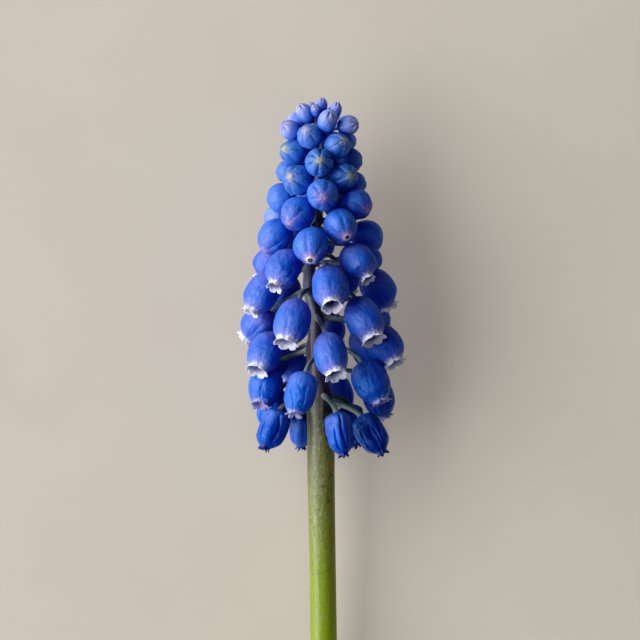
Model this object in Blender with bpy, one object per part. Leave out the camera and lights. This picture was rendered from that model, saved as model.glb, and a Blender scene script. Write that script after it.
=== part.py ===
"""A cut grape hyacinth lying on its side: a bare green stem and the head of blue florets it carries.

The plant is drawn upright first: across is to the right, height is up the stem from its cut end, and
the front is towards -Y. Then it is laid on its back, with the head towards +Y and the front up.
"""

import math
import random
from collections import namedtuple

import bmesh
import bpy
from mathutils import Matrix, Vector

MM = 0.001

# Driving sizes, in millimetres and degrees
PLANT_LENGTH = 100.0
SCAPE_TOP_DOWN = 39.5
NODE_GAP = 0.3
LEAN = 5.4
PRESS = 0.3
PEDICEL_RADIUS = 0.34
PEDICEL_SINK = 0.16
PEDICEL_ARCH = 1.3
PEDICEL_RISE = 0.8
LOWEST_PEDICEL_DOWN = 37.7
CURVED_PEDICEL_DOWN = 12.0
SCAPE_ROUNDNESS = 7
RACHIS_ROUNDNESS = 3
RIB_FADE = 0.75
SHARP_ANGLE = 50.0
SEED = 11

# The stem, from the cut end up: height, across, radius
SCAPE_LINE = (
    (0.0, 1.3, 1.66),
    (9.0, 1.0, 1.62),
    (20.0, 0.75, 1.60),
    (32.0, 0.5, 1.58),
    (45.0, 0.3, 1.60),
    (54.0, 0.15, 1.64),
    (PLANT_LENGTH - SCAPE_TOP_DOWN, 0.1, 1.62),
)

# The stem inside the head: down from the tip of the head, across, radius
RACHIS_LINE = (
    (SCAPE_TOP_DOWN - NODE_GAP, 0.1, 1.62),
    (36.2, 0.0, 1.5),
    (33.2, -0.3, 1.15),
    (30.2, -0.6, 0.98),
    (27.8, -0.4, 0.95),
    (25.4, -0.7, 0.85),
    (23.0, -1.15, 0.75),
    (21.2, -1.3, 0.7),
    (18.2, -1.0, 0.65),
    (14.6, -0.4, 0.6),
    (9.0, 0.0, 0.55),
    (4.5, 0.1, 0.5),
    (1.2, 0.15, 0.4),
)

# How far the middles of the florets stand from the stem's middle: down, radius
HEAD_PROFILE = (
    (0.0, 0.3),
    (1.5, 1.5),
    (3.3, 2.9),
    (7.4, 3.3),
    (12.2, 4.2),
    (19.4, 5.5),
    (26.6, 6.5),
    (31.4, 6.7),
    (36.2, 6.2),
    (43.0, 5.7),
)

# Sizes by place on the head: down, length, width, droop below level
SIZE_BY_PLACE = (
    (0.0, 1.6, 1.2, -70.0),
    (3.0, 2.7, 2.3, -25.0),
    (7.0, 3.4, 3.2, -5.0),
    (11.0, 3.8, 3.6, 10.0),
    (15.0, 4.5, 4.0, 27.0),
    (19.0, 5.2, 4.2, 42.0),
    (25.0, 5.9, 4.3, 52.0),
    (31.0, 5.7, 4.2, 60.0),
    (37.0, 5.3, 4.1, 70.0),
    (43.0, 5.2, 3.9, 74.0),
)

# Florets that no photo shows, on the far side of the head
BACK_TRIES = 300
BACK_FIRST_DOWN = 1.9
BACK_LAST_DOWN = 40.6
BACK_ARC = 150.0
BACK_STEP = 0.618
BACK_CLEAR = 0.55
# Gaps where one sees right through the head from the front: across, down
GAPS = ((2.0, 17.9), (-2.2, 22.8), (3.2, 27.2), (-4.2, 34.6), (4.0, 35.2))
GAP_CLEAR = 2.4
SIDE_DEPTH = 0.3
KEPT_SHARE = 0.88
MOST_FLAT = 0.985

# Florets that press into each other are moved apart until they share less than this
SHARED = 0.2
SPREAD_ROUNDS = 25
SPREAD_STEP = 0.4
LEAST_PUSH = 0.05
# Balls that stand for a floret while they are moved apart: share of the length, share of the half width
BALLS = ((0.2, 0.78), (0.38, 0.97), (0.58, 0.97), (0.78, 0.75))

FRONT = -1
BACK = 1

Bloom = namedtuple("Bloom", "kind across down tip_across tip_down length width side depth leaves_at")
Placed = namedtuple("Placed", "kind middle heading length width leaves_at shown")
Shape = namedtuple("Shape", "sides profile rib teeth")

# Turned outlines: share of the length, share of the half width
SHAPES = {
    "tip_bud": Shape(8, ((0, 0), (0.28, 0.9), (0.76, 0.86), (1, 0)), 0.0, 0.0),
    "bud": Shape(12, ((0, 0), (0.1, 0.62), (0.42, 1.02), (0.8, 0.84), (1, 0)), 0.045, 0.0),
    "open": Shape(
        12,
        ((0, 0), (0.07, 0.58), (0.34, 1.0), (0.62, 0.95), (0.88, 0.56), (1.0, 0.62), (0.74, 0)),
        0.035,
        0.05,
    ),
    "spent": Shape(
        12,
        ((0, 0), (0.1, 0.5), (0.42, 0.98), (0.74, 0.86), (0.92, 0.42), (1.0, 0.42), (0.86, 0)),
        0.085,
        0.06,
    ),
}


def bloom(kind, across, down, tip_across, tip_down, length, width, side, depth=None, leaves_at=None):
    return Bloom(kind, across, down, tip_across, tip_down, length, width, side, depth, leaves_at)


# Each floret that shows: its middle, where its tip or mouth is, its length and width, and its side
BLOOMS = (
    bloom("tip_bud", 0.2, 0.95, 0.25, 0.0, 1.9, 1.35, FRONT, 0.0),
    bloom("tip_bud", 1.85, 1.5, 2.1, 0.6, 2.1, 1.5, FRONT, 0.2),
    bloom("tip_bud", -0.55, 1.6, -0.6, 0.95, 1.8, 1.15, FRONT, 1.1),
    bloom("tip_bud", -0.95, 1.2, -1.05, 0.5, 1.6, 0.95, BACK, 0.7),
    bloom("tip_bud", -1.85, 1.95, -2.4, 0.85, 2.6, 1.95, FRONT, 0.4),
    bloom("tip_bud", 0.85, 2.9, 1.2, 1.75, 2.9, 2.35, FRONT),
    bloom("tip_bud", 3.3, 3.35, 4.4, 3.1, 2.7, 2.4, FRONT),
    bloom("tip_bud", -3.5, 3.85, -4.5, 3.4, 2.7, 2.4, FRONT),
    bloom("bud", -1.3, 4.65, -1.75, 3.85, 3.2, 2.95, FRONT),
    bloom("bud", 2.1, 5.7, 3.0, 5.2, 3.3, 3.1, FRONT),
    bloom("tip_bud", 3.1, 5.1, 4.0, 5.2, 2.7, 2.3, BACK),
    bloom("tip_bud", 0.6, 4.7, 0.7, 3.9, 2.7, 2.2, FRONT, 0.9),
    bloom("bud", -3.25, 6.5, -4.4, 6.1, 3.4, 3.1, FRONT),
    bloom("bud", -0.1, 7.9, 0.0, 7.55, 3.6, 3.35, FRONT),
    bloom("bud", 3.6, 7.4, 4.8, 7.9, 3.4, 3.0, BACK),
    bloom("bud", -3.85, 8.85, -4.8, 9.2, 3.2, 2.8, BACK),
    bloom("bud", -2.65, 9.85, -3.65, 9.5, 3.8, 3.65, FRONT),
    bloom("bud", 2.8, 9.4, 3.7, 9.5, 3.6, 3.35, FRONT),
    bloom("bud", 4.05, 10.3, 5.1, 10.7, 3.4, 3.0, BACK),
    bloom("bud", 0.25, 11.7, 0.4, 12.1, 4.0, 3.75, FRONT),
    bloom("bud", -4.6, 12.0, -5.8, 12.5, 3.7, 3.5, BACK),
    bloom("bud", -2.75, 14.0, -3.8, 15.1, 4.6, 3.95, FRONT),
    bloom("bud", 4.4, 12.8, 5.7, 13.5, 4.0, 3.75, FRONT),
    bloom("bud", 2.45, 15.4, 3.25, 16.8, 4.7, 4.2, FRONT),
    bloom("bud", 5.6, 16.7, 6.9, 18.0, 4.5, 4.0, BACK),
    bloom("bud", -5.3, 16.7, -6.8, 18.4, 4.9, 4.2, FRONT),
    bloom("bud", -1.0, 17.8, -1.15, 19.6, 5.2, 4.2, FRONT),
    bloom("bud", -5.2, 14.3, -6.1, 15.3, 3.5, 3.0, BACK),
    bloom("open", -4.3, 20.7, -5.5, 22.9, 5.6, 4.2, FRONT),
    bloom("open", 4.5, 19.9, 5.8, 22.0, 5.4, 4.3, FRONT),
    bloom("open", 1.2, 22.8, 1.5, 25.2, 6.3, 4.5, FRONT),
    bloom("open", -6.1, 19.9, -7.4, 21.7, 4.7, 3.6, BACK),
    bloom("open", -7.0, 23.4, -8.4, 25.9, 5.8, 4.2, FRONT),
    bloom("open", 7.0, 22.9, 8.4, 25.1, 5.6, 4.2, BACK),
    bloom("open", -3.3, 26.9, -4.1, 29.6, 6.2, 4.3, FRONT),
    bloom("open", 5.3, 26.6, 6.5, 29.2, 6.2, 4.5, FRONT),
    bloom("open", -7.4, 27.2, -9.0, 28.9, 5.0, 3.8, BACK, leaves_at=22.7),
    bloom("open", 6.9, 26.2, 7.8, 27.6, 4.6, 3.1, BACK, 3.2),
    bloom("open", 7.7, 29.7, 9.1, 32.0, 5.6, 4.2, FRONT, 1.0),
    bloom("open", 1.4, 27.6, 2.0, 29.6, 4.9, 3.2, BACK),
    bloom("bud", 5.9, 19.2, 6.8, 20.3, 3.9, 3.1, BACK, 3.0),
    bloom("open", -6.5, 30.6, -7.6, 32.9, 5.7, 4.1, FRONT),
    bloom("open", 1.3, 30.8, 2.0, 33.4, 6.1, 4.0, FRONT, leaves_at=25.9),
    bloom("spent", -6.6, 34.8, -7.2, 37.0, 5.0, 4.1, FRONT, 0.4, leaves_at=30.0),
    bloom("spent", -3.2, 32.1, -3.8, 33.8, 4.8, 3.4, BACK),
    bloom("spent", -2.4, 35.5, -3.1, 38.1, 5.6, 3.9, FRONT, leaves_at=31.2),
    bloom("spent", 6.2, 34.1, 7.4, 36.6, 5.6, 4.3, FRONT, leaves_at=28.6),
    bloom("spent", 7.0, 36.0, 7.8, 38.3, 5.2, 4.0, BACK, 2.2),
    bloom("spent", 2.6, 35.3, 3.5, 37.2, 4.6, 2.7, BACK),
    bloom("spent", -5.8, 39.8, -6.8, 42.2, 5.3, 3.9, FRONT, leaves_at=37.0),
    bloom("spent", -2.25, 40.0, -2.3, 42.2, 4.7, 3.2, BACK, leaves_at=37.2),
    bloom("spent", 2.35, 40.3, 2.8, 43.0, 5.5, 3.6, FRONT, leaves_at=35.4),
    bloom("spent", 6.2, 40.4, 7.6, 42.7, 5.5, 4.0, FRONT, leaves_at=36.2),
)


def between(rows, down):
    """The row of values at this place, read straight between the rows given."""
    for low, high in zip(rows, rows[1:]):
        if down <= high[0]:
            share = (down - low[0]) / (high[0] - low[0])
            share = max(share, 0.0)
            return [a + share * (b - a) for a, b in zip(low[1:], high[1:])]
    return list(rows[-1][1:])


def stem_point(down):
    """Middle of the stem inside the head."""
    rows = sorted(RACHIS_LINE)
    across, _radius = between(rows, down)
    return Vector((across, 0, PLANT_LENGTH - down))


def place_bloom(item):
    """Turns what the front view shows into a middle and a heading in space."""
    radius = between(HEAD_PROFILE, item.down)[0]
    if item.depth is None:
        depth = math.sqrt(max(radius**2 - item.across**2, (SIDE_DEPTH * radius) ** 2))
    else:
        depth = item.depth
    middle = Vector((item.across, item.side * depth, PLANT_LENGTH - item.down))
    half = item.length / 2
    sideways = (item.tip_across - item.across) / half
    upwards = (item.down - item.tip_down) / half
    flat = math.hypot(sideways, upwards)
    if flat > MOST_FLAT:
        sideways *= MOST_FLAT / flat
        upwards *= MOST_FLAT / flat
    forwards = item.side * math.sqrt(1 - sideways**2 - upwards**2)
    heading = Vector((sideways, forwards, upwards))
    return Placed(item.kind, middle, heading, item.length, item.width, item.leaves_at, True)


def kind_at(down):
    if down < 5:
        return "tip_bud"
    if down < 20:
        return "bud"
    if down < 33:
        return "open"
    return "spent"


def blocks_gap(across, down):
    return any(math.hypot(across - x, down - y) < GAP_CLEAR for x, y in GAPS)


def place_back(shown):
    """Fills the far side: turns a fixed share of the arc from one try to the next, and skips a full place."""
    placed = []
    for number in range(BACK_TRIES):
        down = BACK_FIRST_DOWN + (BACK_LAST_DOWN - BACK_FIRST_DOWN) * number / (BACK_TRIES - 1)
        turn = (number * BACK_STEP) % 1 - 0.5
        azimuth = math.radians(90 + BACK_ARC * turn)
        length, width, droop = between(SIZE_BY_PLACE, down)
        radius = between(HEAD_PROFILE, down)[0]
        outward = Vector((math.cos(azimuth), math.sin(azimuth), 0))
        droop = math.radians(droop)
        heading = outward * math.cos(droop) - Vector((0, 0, math.sin(droop)))
        middle = outward * radius + Vector((0, 0, PLANT_LENGTH - down))
        item = Placed(kind_at(down), middle, heading, length, width, None, False)
        if blocks_gap(middle.x, down):
            continue
        if all(shared(item, other) < BACK_CLEAR for other in shown + placed):
            placed.append(item)
    return placed


def balls(item):
    for along, size in BALLS:
        yield item.middle + item.heading * (along - 0.5) * item.length, size * item.width / 2


def shared(item, other):
    """How deep two florets reach into each other."""
    if (item.middle - other.middle).length > item.length + other.length:
        return 0.0
    depths = [a + b - (one - two).length for one, a in balls(item) for two, b in balls(other)]
    return max(depths)


def moved_apart(items):
    """Eases crowded florets apart, in depth alone where they show from the front."""
    items = list(items)
    for _round in range(SPREAD_ROUNDS):
        for first in range(len(items)):
            for second in range(first):
                pair = (items[first], items[second])
                excess = shared(*pair) - SHARED
                if excess <= 0:
                    continue
                apart = (pair[0].middle - pair[1].middle).normalized() * excess * SPREAD_STEP
                for index, push in ((first, apart), (second, -apart)):
                    sideways = 0.0 if items[index].shown else push.x
                    inwards = math.copysign(max(abs(push.y), LEAST_PUSH), push.y)
                    moved = items[index].middle + Vector((sideways, inwards, 0))
                    items[index] = kept_off_ground(items[index]._replace(middle=moved))
    return items


def lay_down():
    """The turn that lays the plant on its back with the cut end's lower edge on the ground."""
    turn = Matrix.Rotation(math.radians(LEAN - 90), 4, "X")
    lift = SCAPE_LINE[0][2] * math.cos(math.radians(LEAN)) * MM
    return Matrix.Translation((0, 0, lift)) @ turn


def lowest_reach(item):
    """How far the floret reaches below its own middle once the plant lies down."""
    down = -(lay_down().to_3x3().transposed() @ Vector((0, 0, 1)))
    along = abs(item.heading.dot(down))
    across = math.sqrt(max(1 - along**2, 0))
    return math.hypot(along * item.length / 2, across * item.width / 2)


def kept_off_ground(item):
    """Moves a floret in towards the stem where it would be pressed too far into the ground."""
    height = (lay_down() @ (item.middle * MM)).z / MM
    short = lowest_reach(item) - PRESS - height
    if short <= 0:
        return item
    middle = item.middle - Vector((0, short, 0))
    return item._replace(middle=middle)


def ribbed_mesh(name, kind, length, width):
    """A turned body with six ribs round it, and six teeth round its mouth where it has one.

    It is drawn in millimetres and scaled to metres at the end.
    """
    shape = SHAPES[kind]
    bm = bmesh.new()
    points = [bm.verts.new((r * width / 2, 0, t * length)) for t, r in shape.profile]
    edges = [bm.edges.new(pair) for pair in zip(points, points[1:])]
    bmesh.ops.spin(
        bm,
        geom=points + edges,
        cent=(0, 0, 0),
        axis=(0, 0, 1),
        angle=math.tau,
        steps=shape.sides,
        use_duplicate=False,
    )
    bmesh.ops.remove_doubles(bm, verts=bm.verts, dist=0.001)
    for vert in bm.verts:
        wave = math.cos(6 * math.atan2(vert.co.y, vert.co.x))
        share = vert.co.z / length
        swell = 1 + shape.rib * wave * math.sin(math.pi * min(share, RIB_FADE))
        vert.co.x *= swell
        vert.co.y *= swell
        if share > 0.99 and vert.co.xy.length > 0.01:
            vert.co.z += shape.teeth * length * wave
    bmesh.ops.triangulate(bm, faces=bm.faces)
    bmesh.ops.recalc_face_normals(bm, faces=bm.faces)
    bmesh.ops.scale(bm, vec=(MM, MM, MM), verts=bm.verts)
    mesh = bpy.data.meshes.new(name)
    bm.to_mesh(mesh)
    bm.free()
    return mesh


def floret(name, item, roll, collection):
    mesh = ribbed_mesh(name, item.kind, item.length, item.width)
    obj = bpy.data.objects.new(name, mesh)
    base = item.middle - item.heading * item.length / 2
    turn = item.heading.to_track_quat("Z", "Y").to_matrix().to_4x4()
    place = Matrix.Translation(base * MM) @ turn @ Matrix.Rotation(roll, 4, "Z")
    obj.matrix_world = lay_down() @ place
    collection.objects.link(obj)
    return obj


def tube(name, points, radii, resolution, collection):
    """A round tube through these points as a mesh with welded caps."""
    curve = bpy.data.curves.new(name, "CURVE")
    curve.dimensions = "3D"
    curve.bevel_depth = MM
    curve.bevel_resolution = resolution
    curve.use_fill_caps = True
    spline = curve.splines.new("POLY")
    spline.points.add(len(points) - 1)
    for spot, point, radius in zip(spline.points, points, radii):
        spot.co = (*(point * MM), 1)
        spot.radius = radius
    curve_obj = bpy.data.objects.new(name + "_line", curve)
    curve_obj.matrix_world = lay_down()
    collection.objects.link(curve_obj)
    bpy.context.view_layer.update()
    graph = bpy.context.evaluated_depsgraph_get()
    mesh = bpy.data.meshes.new_from_object(curve_obj.evaluated_get(graph))
    weld(mesh)
    obj = bpy.data.objects.new(name, mesh)
    obj.matrix_world = curve_obj.matrix_world
    bpy.data.objects.remove(curve_obj)
    collection.objects.link(obj)
    return obj


def weld(mesh):
    bm = bmesh.new()
    bm.from_mesh(mesh)
    bmesh.ops.remove_doubles(bm, verts=bm.verts, dist=0.000001)
    bmesh.ops.triangulate(bm, faces=bm.faces)
    bmesh.ops.recalc_face_normals(bm, faces=bm.faces)
    bm.to_mesh(mesh)
    bm.free()


def pedicel(name, item, collection):
    """A short stalk from inside the stem, arching into the base of the floret."""
    base = item.middle - item.heading * item.length / 2
    bend = base - item.heading * PEDICEL_ARCH
    bend_down = PLANT_LENGTH - bend.z
    leaves_at = item.leaves_at
    if leaves_at is None:
        leaves_at = bend_down + max(item.heading.z, 0) * PEDICEL_RISE
    leaves_at = min(max(leaves_at, RACHIS_LINE[-1][0]), LOWEST_PEDICEL_DOWN)
    start = stem_point(leaves_at)
    steps = 1 if leaves_at < CURVED_PEDICEL_DOWN else 2
    points = []
    for step in range(steps + 1):
        share = step / steps
        points.append(start * (1 - share) ** 2 + bend * 2 * share * (1 - share) + base * share**2)
    points.append(base + item.heading * item.length * PEDICEL_SINK)
    return tube(name, points, [PEDICEL_RADIUS] * len(points), 0, collection)


def drop_inner_shells(mesh):
    """Keeps the one outer body that a union leaves, and drops sealed hollows and scraps."""
    bm = bmesh.new()
    bm.from_mesh(mesh)
    todo = set(bm.faces)
    bodies = []
    while todo:
        first = todo.pop()
        body = {first}
        front = [first]
        while front:
            face = front.pop()
            for edge in face.edges:
                for other in edge.link_faces:
                    if other in todo:
                        todo.discard(other)
                        body.add(other)
                        front.append(other)
        bodies.append(body)
    largest = max(bodies, key=len)
    loose = [face for face in bm.faces if face not in largest]
    bmesh.ops.delete(bm, geom=loose, context="FACES")
    bm.to_mesh(mesh)
    bm.free()


def applied(obj):
    """Bakes the modifiers and the place of an object into its mesh."""
    bpy.context.view_layer.update()
    graph = bpy.context.evaluated_depsgraph_get()
    mesh = bpy.data.meshes.new_from_object(obj.evaluated_get(graph))
    obj.modifiers.clear()
    mesh.transform(obj.matrix_world)
    obj.data = mesh
    obj.matrix_world = Matrix()
    mesh.name = obj.name


def principled(name, colour, roughness):
    material = bpy.data.materials.new(name)
    material.use_nodes = True
    shader = material.node_tree.nodes["Principled BSDF"]
    shader.inputs["Base Color"].default_value = (*colour, 1)
    shader.inputs["Roughness"].default_value = roughness
    shader.inputs["Metallic"].default_value = 0
    return material


def finish(obj, material):
    obj.data.materials.clear()
    obj.data.materials.append(material)
    obj.data.shade_smooth()
    obj.data.set_sharp_from_angle(angle=math.radians(SHARP_ANGLE))


def new_collection(name, is_helper):
    collection = bpy.data.collections.new(name)
    collection.hide_render = is_helper
    bpy.context.scene.collection.children.link(collection)
    return collection


def build_raceme(parts):
    draw = random.Random(SEED)
    shown = [place_bloom(item) for item in BLOOMS]
    items = moved_apart(shown + place_back(shown))
    points = [Vector((across, 0, PLANT_LENGTH - down)) for down, across, _radius in RACHIS_LINE]
    radii = [radius for _down, _across, radius in RACHIS_LINE]
    raceme = tube("raceme", points, radii, RACHIS_ROUNDNESS, parts)
    repeats = bpy.data.collections.new("raceme_repeats")
    bpy.context.scene.collection.children.link(repeats)
    for number, item in enumerate(items):
        floret(f"floret_{number:02d}", item, draw.uniform(0, math.tau), repeats)
        pedicel(f"pedicel_{number:02d}", item, repeats)
    union = raceme.modifiers.new("grown_together", "BOOLEAN")
    union.operation = "UNION"
    union.operand_type = "COLLECTION"
    union.collection = repeats
    union.solver = "EXACT"
    applied(raceme)
    for obj in list(repeats.objects):
        bpy.data.objects.remove(obj)
    bpy.data.collections.remove(repeats)
    drop_inner_shells(raceme.data)
    lighten = raceme.modifiers.new("slivers_collapsed", "DECIMATE")
    lighten.ratio = KEPT_SHARE
    applied(raceme)
    return raceme


def build_scape(parts):
    points = [Vector((across, 0, height)) for height, across, _radius in SCAPE_LINE]
    radii = [radius for _height, _across, radius in SCAPE_LINE]
    scape = tube("scape", points, radii, SCAPE_ROUNDNESS, parts)
    applied(scape)
    return scape


def cut_at_ground(obj, helpers):
    """Flattens what is pressed against the surface that the plant lies on."""
    size = 2 * PLANT_LENGTH * MM
    bpy.ops.mesh.primitive_cube_add(size=size, location=(0, 0, -size / 2))
    ground = bpy.context.object
    ground.name = "ground_cutter"
    for collection in list(ground.users_collection):
        collection.objects.unlink(ground)
    helpers.objects.link(ground)
    ground.hide_render = True
    ground.display_type = "WIRE"
    cut = obj.modifiers.new("pressed_flat", "BOOLEAN")
    cut.operation = "DIFFERENCE"
    cut.object = ground
    cut.solver = "EXACT"
    applied(obj)


def centre_on_origin(objects):
    """Moves the model so that the middle of its box, at the bottom, is the origin."""
    points = [vert.co for obj in objects for vert in obj.data.vertices]
    low = [min(point[i] for point in points) for i in range(3)]
    high = [max(point[i] for point in points) for i in range(3)]
    shift = Matrix.Translation((-(low[0] + high[0]) / 2, -(low[1] + high[1]) / 2, -low[2]))
    for obj in objects:
        obj.data.transform(shift)


def main():
    for obj in list(bpy.data.objects):
        bpy.data.objects.remove(obj)
    parts = new_collection("grape_hyacinth", False)
    helpers = new_collection("cutters", True)
    raceme = build_raceme(parts)
    scape = build_scape(parts)
    cut_at_ground(raceme, helpers)
    centre_on_origin([raceme, scape])
    finish(raceme, principled("petal_blue", (0.03, 0.08, 0.5), 0.5))
    finish(scape, principled("stem_green", (0.16, 0.2, 0.05), 0.5))


main()
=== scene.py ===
import math
import random
from collections import namedtuple

import bpy
import numpy as np
from mathutils import Matrix, Vector


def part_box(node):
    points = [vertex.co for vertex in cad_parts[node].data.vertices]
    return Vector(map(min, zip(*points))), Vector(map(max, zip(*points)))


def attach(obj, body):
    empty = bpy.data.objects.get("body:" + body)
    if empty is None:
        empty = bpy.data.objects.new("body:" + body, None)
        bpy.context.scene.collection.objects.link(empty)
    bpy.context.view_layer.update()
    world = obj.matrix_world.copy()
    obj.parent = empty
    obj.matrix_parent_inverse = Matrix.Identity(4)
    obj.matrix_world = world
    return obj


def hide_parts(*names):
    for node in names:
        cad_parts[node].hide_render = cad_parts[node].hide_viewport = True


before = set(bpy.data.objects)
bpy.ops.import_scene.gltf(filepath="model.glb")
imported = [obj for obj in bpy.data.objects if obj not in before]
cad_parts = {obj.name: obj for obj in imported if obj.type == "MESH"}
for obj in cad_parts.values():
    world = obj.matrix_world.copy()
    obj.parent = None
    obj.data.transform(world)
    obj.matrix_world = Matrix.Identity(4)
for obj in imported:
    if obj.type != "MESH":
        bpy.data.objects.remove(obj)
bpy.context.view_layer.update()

# A cut grape hyacinth lying on its back. As in the solids, the plant is drawn upright in millimetres:
# across is to the right, height is up the stem from its cut end, the front is towards -Y.

MM = 0.001
PLANT_LENGTH = 100.0
SCAPE_TOP_DOWN = 39.5
LEAN = 5.4
PRESS = 0.3
PEDICEL_ARCH = 1.3
PEDICEL_RISE = 0.8
LOWEST_PEDICEL_DOWN = 37.7
SEED = 11

# The stem, from the cut end up: height, across, radius
SCAPE_LINE = (
    (0.0, 1.3, 1.66), (9.0, 1.0, 1.62), (20.0, 0.75, 1.60), (32.0, 0.5, 1.58), (45.0, 0.3, 1.60),
    (54.0, 0.15, 1.64), (PLANT_LENGTH - SCAPE_TOP_DOWN, 0.1, 1.62),
)

# The stem inside the head: down from the tip of the head, across, radius
RACHIS_LINE = (
    (1.2, 0.15, 0.4), (4.5, 0.1, 0.5), (9.0, 0.0, 0.55), (14.6, -0.4, 0.6), (18.2, -1.0, 0.65),
    (21.2, -1.3, 0.7), (23.0, -1.15, 0.75), (25.4, -0.7, 0.85), (27.8, -0.4, 0.95),
    (30.2, -0.6, 0.98), (33.2, -0.3, 1.15), (36.2, 0.0, 1.5),
)

# How far the middles of the florets stand from the stem's middle: down, radius
HEAD_PROFILE = (
    (0.0, 0.3), (1.5, 1.5), (3.3, 2.9), (7.4, 3.3), (12.2, 4.2), (19.4, 5.5), (26.6, 6.5),
    (31.4, 6.7), (36.2, 6.2), (43.0, 5.7),
)

# Sizes by place on the head: down, length, width, droop below level
SIZE_BY_PLACE = (
    (0.0, 1.6, 1.2, -70.0),
    (3.0, 2.7, 2.3, -25.0),
    (7.0, 3.4, 3.2, -5.0),
    (11.0, 3.8, 3.6, 10.0),
    (15.0, 4.5, 4.0, 27.0),
    (19.0, 5.2, 4.2, 42.0),
    (25.0, 5.9, 4.3, 52.0),
    (31.0, 5.7, 4.2, 60.0),
    (37.0, 5.3, 4.1, 70.0),
    (43.0, 5.2, 3.9, 74.0),
)

# Florets on the far side of the head, placed by the same rule as in the solids
BACK_TRIES = 300
BACK_FIRST_DOWN = 1.9
BACK_LAST_DOWN = 40.6
BACK_ARC = 150.0
BACK_STEP = 0.618
BACK_CLEAR = 0.55
GAPS = ((2.0, 17.9), (-2.2, 22.8), (3.2, 27.2), (-4.2, 34.6), (4.0, 35.2))
GAP_CLEAR = 2.4
KINDS_BY_PLACE = ((5, "tip_bud"), (20, "bud"), (33, "open"))
SIDE_DEPTH = 0.3
MOST_FLAT = 0.985
SHARED = 0.2
SPREAD_ROUNDS = 25
SPREAD_STEP = 0.4
LEAST_PUSH = 0.05
BALLS = ((0.2, 0.78), (0.38, 0.97), (0.58, 0.97), (0.78, 0.75))

# Florets that differ from their kind or carry painted light or shade, by across and down, and how far
MARKED = {
    # Buds whose mouth has just opened to a pinhole: how pale the ring round it is
    "pierced": {(-1.0, 17.8): 1.0, (2.45, 15.4): 0.5},
    # Painted shade: old florets on the shaded right side, painted darker towards navy
    "painted_shade": {(6.2, 40.4): 1.0, (7.0, 36.0): 0.6, (6.2, 34.1): 0.35},
    # Painted light: florets painted paler, most of them deep in the head where little light falls
    "painted_light": {(-5.2, 14.3): 0.5, (-3.2, 32.1): 1.0, (2.6, 35.3): 0.55, (-2.25, 40.0): 0.3},
}

# How the camera's tones fall off towards black: light, shown
TONES = ((0.020, 0.0058), (0.045, 0.027), (0.10, 0.091))

# The stem's foot, where it was cut
CUT_SLANT = 0.05
CUT_DISH = 0.04
CUT_RINGS = (0.0, 0.3, 0.6, 0.85, 0.94)

# Where the photo was taken from
VIEW_HEIGHT = 73.36
VIEW_WIDTH = 76.8
VIEW_DISTANCE = 768.0
SENSOR = 36.0

# The floor is a pale light table, which keeps the shadow beside the plant soft
FLOOR_GLOW = 0.68
FLOOR_HALF = 4.0

# How finely the pieces are divided: round, along
FINENESS = {
    "tip_bud": (48, 34),
    "bud": (60, 50),
    "open": (66, 62),
    "spent": (116, 46),
}
STEM_ROUND = 80
STEM_STEP = 0.25
PEDICEL_ROUND = 12
PEDICEL_STEPS = 14
PEDICEL_WIDTH = 0.33
PEDICEL_SINK = 0.06

BRACT_LENGTH = 0.75
BRACT_WIDTH = 0.5
BRACT_TAPER = (0.9, 1.0, 0.85, 0.5, 0.08)

# The anthers, as shares of a floret's half width and length, then in millimetres
ANTHER_REACH = 0.33
ANTHER_ALONG = 0.77
ANTHER_LENGTH = 0.34
ANTHER_WIDTH = 0.24
ANTHER_STEPS = (-1.0, -0.6, 0.0, 0.6, 1.0)
ANTHER_TAPER = (0.35, 0.85, 1.0, 0.85, 0.35)

# Outlines of a floret: share of the length, share of the half width. A cup's outline goes on
# over the lip and back down inside.
TIP_BUD_OUTLINE = (
    (0.0, 0.0), (0.0, 0.16), (0.05, 0.42), (0.14, 0.68), (0.28, 0.90), (0.45, 1.0),
    (0.62, 0.99), (0.78, 0.88), (0.90, 0.68), (0.97, 0.42), (0.995, 0.20), (0.975, 0.0),
)
BUD_OUTLINE = (
    (0.0, 0.0), (0.0, 0.12), (0.03, 0.34), (0.08, 0.55), (0.16, 0.76), (0.28, 0.93),
    (0.42, 1.0), (0.56, 1.0), (0.70, 0.92), (0.82, 0.76), (0.91, 0.53), (0.97, 0.28),
    (0.995, 0.10), (0.985, 0.0),
)
OPEN_OUTLINE = (
    (0.0, 0.0), (0.0, 0.10), (0.02, 0.26), (0.06, 0.47), (0.13, 0.68), (0.22, 0.85),
    (0.34, 0.96), (0.46, 1.0), (0.58, 1.0), (0.69, 0.95), (0.78, 0.84), (0.85, 0.69),
    (0.89, 0.59), (0.92, 0.55), (0.955, 0.57), (0.98, 0.62), (1.0, 0.65), (0.992, 0.60),
    (0.965, 0.53), (0.93, 0.48), (0.89, 0.46), (0.84, 0.47), (0.78, 0.44), (0.73, 0.30),
    (0.715, 0.0),
)
OPEN_NECK = 0.915
SPENT_OUTLINE = (
    (0.0, 0.0), (0.0, 0.14), (0.02, 0.36), (0.06, 0.62), (0.13, 0.82), (0.23, 0.95),
    (0.36, 1.0), (0.50, 1.0), (0.63, 0.96), (0.74, 0.86), (0.83, 0.68), (0.895, 0.48),
    (0.925, 0.38), (0.95, 0.36), (0.975, 0.38), (1.0, 0.43), (0.995, 0.37), (0.965, 0.29),
    (0.94, 0.25), (0.90, 0.23), (0.86, 0.0),
)
SPENT_NECK = 0.935

# The outline of each kind, and where along it the frilled edge begins
OUTLINES = {
    "tip_bud": (TIP_BUD_OUTLINE, None),
    "bud": (BUD_OUTLINE, None),
    "open": (OPEN_OUTLINE, OPEN_NECK),
    "spent": (SPENT_OUTLINE, SPENT_NECK),
}

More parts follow.
